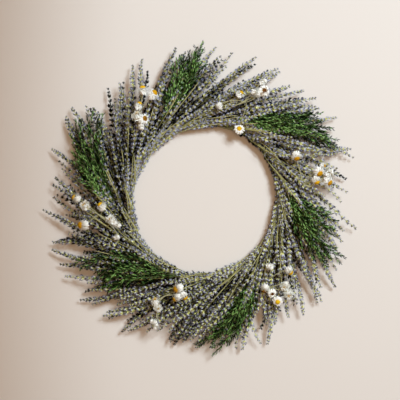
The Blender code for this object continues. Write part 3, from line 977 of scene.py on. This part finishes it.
def daisy_spray(number):
    """A stalk that branches to each flower of a spray."""
    growth = Growth()
    draw = np.random.default_rng((SEED, 3, number))
    flowers = DAISY_PIXELS[number]
    station = FIRST_STATION - (SPRAY_STATIONS * number + DAISIES_AFTER) * STATION_STEP
    angle = station - DAISIES_FURTHER * STATION_STEP
    stalk = Line(flow_line(angle, STALK_START, STALK_TIP, STALK_HEIGHTS))
    growth.stem(stalk, STALK_RADII, STALK_TONE)
    for k, flower in enumerate(flowers):
        place = flower_place(flower, k)
        lean = math.radians(flower.tilt)
        ahead = math.sin(lean) * outwards(math.radians(flower.faces)) + math.cos(lean) * UP
        daisy_head(growth, flower, place, ahead, draw)
        fork, _, _, onward = stalk.at(stalk.length * (FIRST_FORK + FORK_SPAN * k / len(flowers)))
        back = place - BRANCH_SETBACK * ahead
        reach = np.linalg.norm(back - fork)
        arrive = unit((back - fork) * REACH_LEVEL + FACE_PULL * reach * ahead * FACE_LEVEL)
        leave_by = fork + BRANCH_LEAVES * reach * onward
        arrive_by = back - BRANCH_ARRIVES * reach * arrive
        branch = Line(branch_line(fork, leave_by, arrive_by, back))
        growth.stem(branch, BRANCH_RADII, draw.uniform(*BRANCH_TONES))
    growth.build(f"daisies_{number + 1}", (PAPER, STALK, DISC), f"daisy_spray_{number + 1}")


# Materials

def grey(value):
    """A grey colour, or a plain tint."""
    return (value, value, value)


def finish(name, stops, tints, roughness, mottle, depth=0.25, gloss=0.05, metallic=0.0):
    """A material whose colour runs along each part by stops, is lighter or darker from part to part by
    tints, and is mottled by fine noise to a depth."""
    made = bpy.data.materials.new(name)
    made.use_nodes = True
    nodes = made.node_tree.nodes
    links = made.node_tree.links
    shader = nodes["Principled BSDF"]
    shader.inputs["Metallic"].default_value = metallic
    shader.inputs["Specular IOR Level"].default_value = gloss

    def ramp(source, colours):
        node = nodes.new("ShaderNodeValToRGB")
        elements = node.color_ramp.elements
        while len(elements) < len(colours):
            elements.new(0.5)
        for element, (position, colour) in zip(elements, colours):
            element.position = position
            element.color = (*colour, 1.0)
        links.new(source, node.inputs["Fac"])
        return node.outputs["Color"]

    def multiply(one, other):
        node = nodes.new("ShaderNodeMix")
        node.data_type = "RGBA"
        node.blend_type = "MULTIPLY"
        node.inputs["Factor"].default_value = 1.0
        links.new(one, node.inputs[MIX_A])
        links.new(other, node.inputs[MIX_B])
        return node.outputs[MIX_RESULT]

    along = nodes.new("ShaderNodeAttribute")
    along.attribute_name = "along"
    tone = nodes.new("ShaderNodeAttribute")
    tone.attribute_name = "tone"
    place = nodes.new("ShaderNodeTexCoord")
    noise = nodes.new("ShaderNodeTexNoise")
    noise.inputs["Scale"].default_value = mottle
    noise.inputs["Detail"].default_value = MOTTLE_DETAIL
    links.new(place.outputs["Object"], noise.inputs["Vector"])
    mottles = ((DARK_MOTTLE, grey(1 - depth)), (LIGHT_MOTTLE, grey(1 + LIGHTENING * depth)))
    colour = multiply(ramp(along.outputs["Fac"], stops), ramp(tone.outputs["Fac"], tints))
    colour = multiply(colour, ramp(noise.outputs["Fac"], mottles))
    links.new(colour, shader.inputs["Base Color"])
    rough = nodes.new("ShaderNodeMapRange")
    rough.inputs["To Min"].default_value = roughness - ROUGHNESS_CHANGE
    rough.inputs["To Max"].default_value = min(1.0, roughness + ROUGHNESS_CHANGE)
    links.new(noise.outputs["Fac"], rough.inputs["Value"])
    links.new(rough.outputs["Result"], shader.inputs["Roughness"])
    bump = nodes.new("ShaderNodeBump")
    bump.inputs["Strength"].default_value = RELIEF
    bump.inputs["Distance"].default_value = RELIEF_DEPTH
    links.new(noise.outputs["Fac"], bump.inputs["Height"])
    links.new(bump.outputs["Normal"], shader.inputs["Normal"])
    return made


# The lowest tones of CALYX and BRACT, from painted shade below the crown and under the heads, run to near
# black
CALYX = finish(
    "lavender_calyx",
    (
        (0.0, (0.61, 0.63, 0.18)),
        (0.25, (0.52, 0.55, 0.32)),
        (0.5, (0.37, 0.39, 0.53)),
        (1.0, (0.035, 0.04, 0.075)),
    ),
    ((0.0, grey(0.01)), (0.4, grey(0.45)), (0.7, grey(1.25)), (1.0, (1.7, 1.68, 1.55))),
    0.8,
    700,
)
# Darker towards each stem's base: painted shade where the stems run down into the bunch
STRAW = finish(
    "lavender_stem",
    (
        (0.0, (0.05, 0.05, 0.025)),
        (0.35, (0.21, 0.21, 0.09)),
        (0.7, (0.50, 0.50, 0.25)),
        (1.0, (0.36, 0.36, 0.21)),
    ),
    ((0.0, (0.45, 0.45, 0.35)), (0.6, (1.0, 1.0, 0.9)), (1.0, (1.35, 1.3, 1.1))),
    0.7,
    500,
)
BRACT = finish(
    "lavender_bract",
    ((0.0, (0.49, 0.52, 0.17)), (1.0, (0.65, 0.66, 0.28))),
    ((0.0, grey(0.04)), (0.5, (0.9, 0.9, 0.75)), (1.0, (1.5, 1.5, 1.2))),
    0.7,
    500,
)
# Each needle is near black at its base as painted shade, and its highest tones are painted highlights
NEEDLE = finish(
    "green_needle",
    ((0.0, (0.008, 0.02, 0.007)), (0.4, (0.05, 0.12, 0.03)), (1.0, (0.20, 0.32, 0.12))),
    ((0.0, (0.01, 0.04, 0.008)), (0.45, (0.14, 0.26, 0.10)), (0.75, (1.2, 1.3, 1.1)), (1.0, (4.0, 3.8, 3.5))),
    0.55,
    500,
)
TWIG = finish(
    "green_stem",
    ((0.0, (0.16, 0.18, 0.07)), (1.0, (0.14, 0.24, 0.07))),
    ((0.0, grey(0.6)), (1.0, grey(1.2))),
    0.7,
    500,
)
PAPER = finish(
    "daisy_bract",
    ((0.0, (0.84, 0.84, 0.70)), (0.2, (0.96, 0.985, 0.95)), (1.0, (0.97, 0.995, 0.965))),
    ((0.0, grey(0.97)), (1.0, grey(1.0))),
    0.6,
    400,
    depth=0.03,
)
STALK = finish(
    "daisy_stalk",
    ((0.0, (0.44, 0.44, 0.24)), (1.0, (0.52, 0.50, 0.32))),
    ((0.0, grey(0.7)), (1.0, grey(1.15))),
    0.7,
    500,
)
DISC = finish(
    "daisy_disc",
    ((0.0, grey(1.0)), (1.0, grey(1.0))),
    ((0.0, (0.90, 0.60, 0.02)), (0.35, (0.68, 0.36, 0.01)), (1.0, (0.12, 0.04, 0.012))),
    0.7,
    900,
)
RING = finish(
    "ring_steel",
    ((0.0, (0.10, 0.09, 0.08)), (1.0, (0.10, 0.09, 0.08))),
    ((0.0, grey(1.0)), (1.0, grey(1.0))),
    0.5,
    300,
    gloss=0.5,
    metallic=0.8,
)
WIRE = finish(
    "tie_wire",
    ((0.0, (0.05, 0.09, 0.04)), (1.0, (0.05, 0.09, 0.04))),
    ((0.0, grey(1.0)), (1.0, grey(1.0))),
    0.45,
    600,
    gloss=0.5,
    metallic=0.4,
)

# The wreath
TEMPLATES = whorl_templates(np.random.default_rng(SEED))
for number in range(STATIONS):
    lavender_bunch(number)
for number in range(len(SPRAYS)):
    green_spray(number)
    daisy_spray(number)
for name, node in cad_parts.items():
    if name == "wire_ring" or name.startswith("wire_tie"):
        for slot in node.material_slots:
            slot.link = "OBJECT"
            slot.material = RING if name == "wire_ring" else WIRE

# The floor
floor_mesh = bpy.data.meshes.new("floor")
floor_corners = [(x * FLOOR_REACH, y * FLOOR_REACH, 0) for x, y in ((-1, -1), (1, -1), (1, 1), (-1, 1))]
floor_mesh.from_pydata(floor_corners, [], [(0, 1, 2, 3)])
floor = bpy.data.objects.new("floor", floor_mesh)
floor.location.z = -FLOOR_DROP
bpy.context.scene.collection.objects.link(floor)
paint = bpy.data.materials.new("floor_paint")
paint.use_nodes = True
paint.node_tree.nodes["Principled BSDF"].inputs["Base Color"].default_value = (*FLOOR_COLOUR, 1)
paint.node_tree.nodes["Principled BSDF"].inputs["Roughness"].default_value = FLOOR_ROUGHNESS
floor_mesh.materials.append(paint)


# The light and the camera

def soft_key():
    """A soft light: a ring of spots round one place, whose cones all end at one edge on the floor."""
    middle = Vector(KEY_PLACE)
    side = middle.cross(Vector((0, 0, 1))).normalized()
    other = middle.cross(side).normalized()
    for k in range(KEYS):
        angle = math.tau * (k + 0.5) / KEYS
        key = bpy.data.lights.new(f"key_{k + 1}", "SPOT")
        key.energy = KEY_POWER / KEYS
        key.color = KEY_COLOUR
        key.shadow_soft_size = KEY_RADIUS
        lit = bpy.data.objects.new(key.name, key)
        lit.location = middle + KEY_SPREAD * (math.cos(angle) * side + math.sin(angle) * other)
        aim = Vector(KEY_TARGET) - lit.location
        key.spot_size = 2 * aim.angle(Vector(KEY_EDGE) - lit.location)
        key.spot_blend = KEY_BLEND
        lit.rotation_euler = aim.to_track_quat("-Z", "Y").to_euler()
        bpy.context.scene.collection.objects.link(lit)


def warm_fill():
    """A small warm light overhead, and a faint warm light from all round."""
    fill = bpy.data.lights.new("fill", "AREA")
    fill.shape = "DISK"
    fill.size = FILL_SIZE
    fill.energy = FILL_POWER
    fill.color = WORLD_COLOUR
    overhead = bpy.data.objects.new("fill", fill)
    overhead.location = (0, 0, FILL_HEIGHT)
    bpy.context.scene.collection.objects.link(overhead)
    world = bpy.data.worlds.new("studio")
    bpy.context.scene.world = world
    world.use_nodes = True
    world.node_tree.nodes["Background"].inputs["Color"].default_value = (*WORLD_COLOUR, 1)
    world.node_tree.nodes["Background"].inputs["Strength"].default_value = WORLD_STRENGTH


soft_key()
warm_fill()
lens = bpy.data.cameras.new("camera")
lens.lens = LENS
lens.sensor_width = SENSOR
lens.clip_end = CAMERA_REACH
camera = bpy.data.objects.new("camera", lens)
camera.location = (CAMERA_X, CAMERA_Y, CAMERA_HEIGHT)
bpy.context.scene.collection.objects.link(camera)
bpy.context.scene.camera = camera
bpy.context.scene.view_settings.view_transform = "Standard"

bpy.context.view_layer.update()
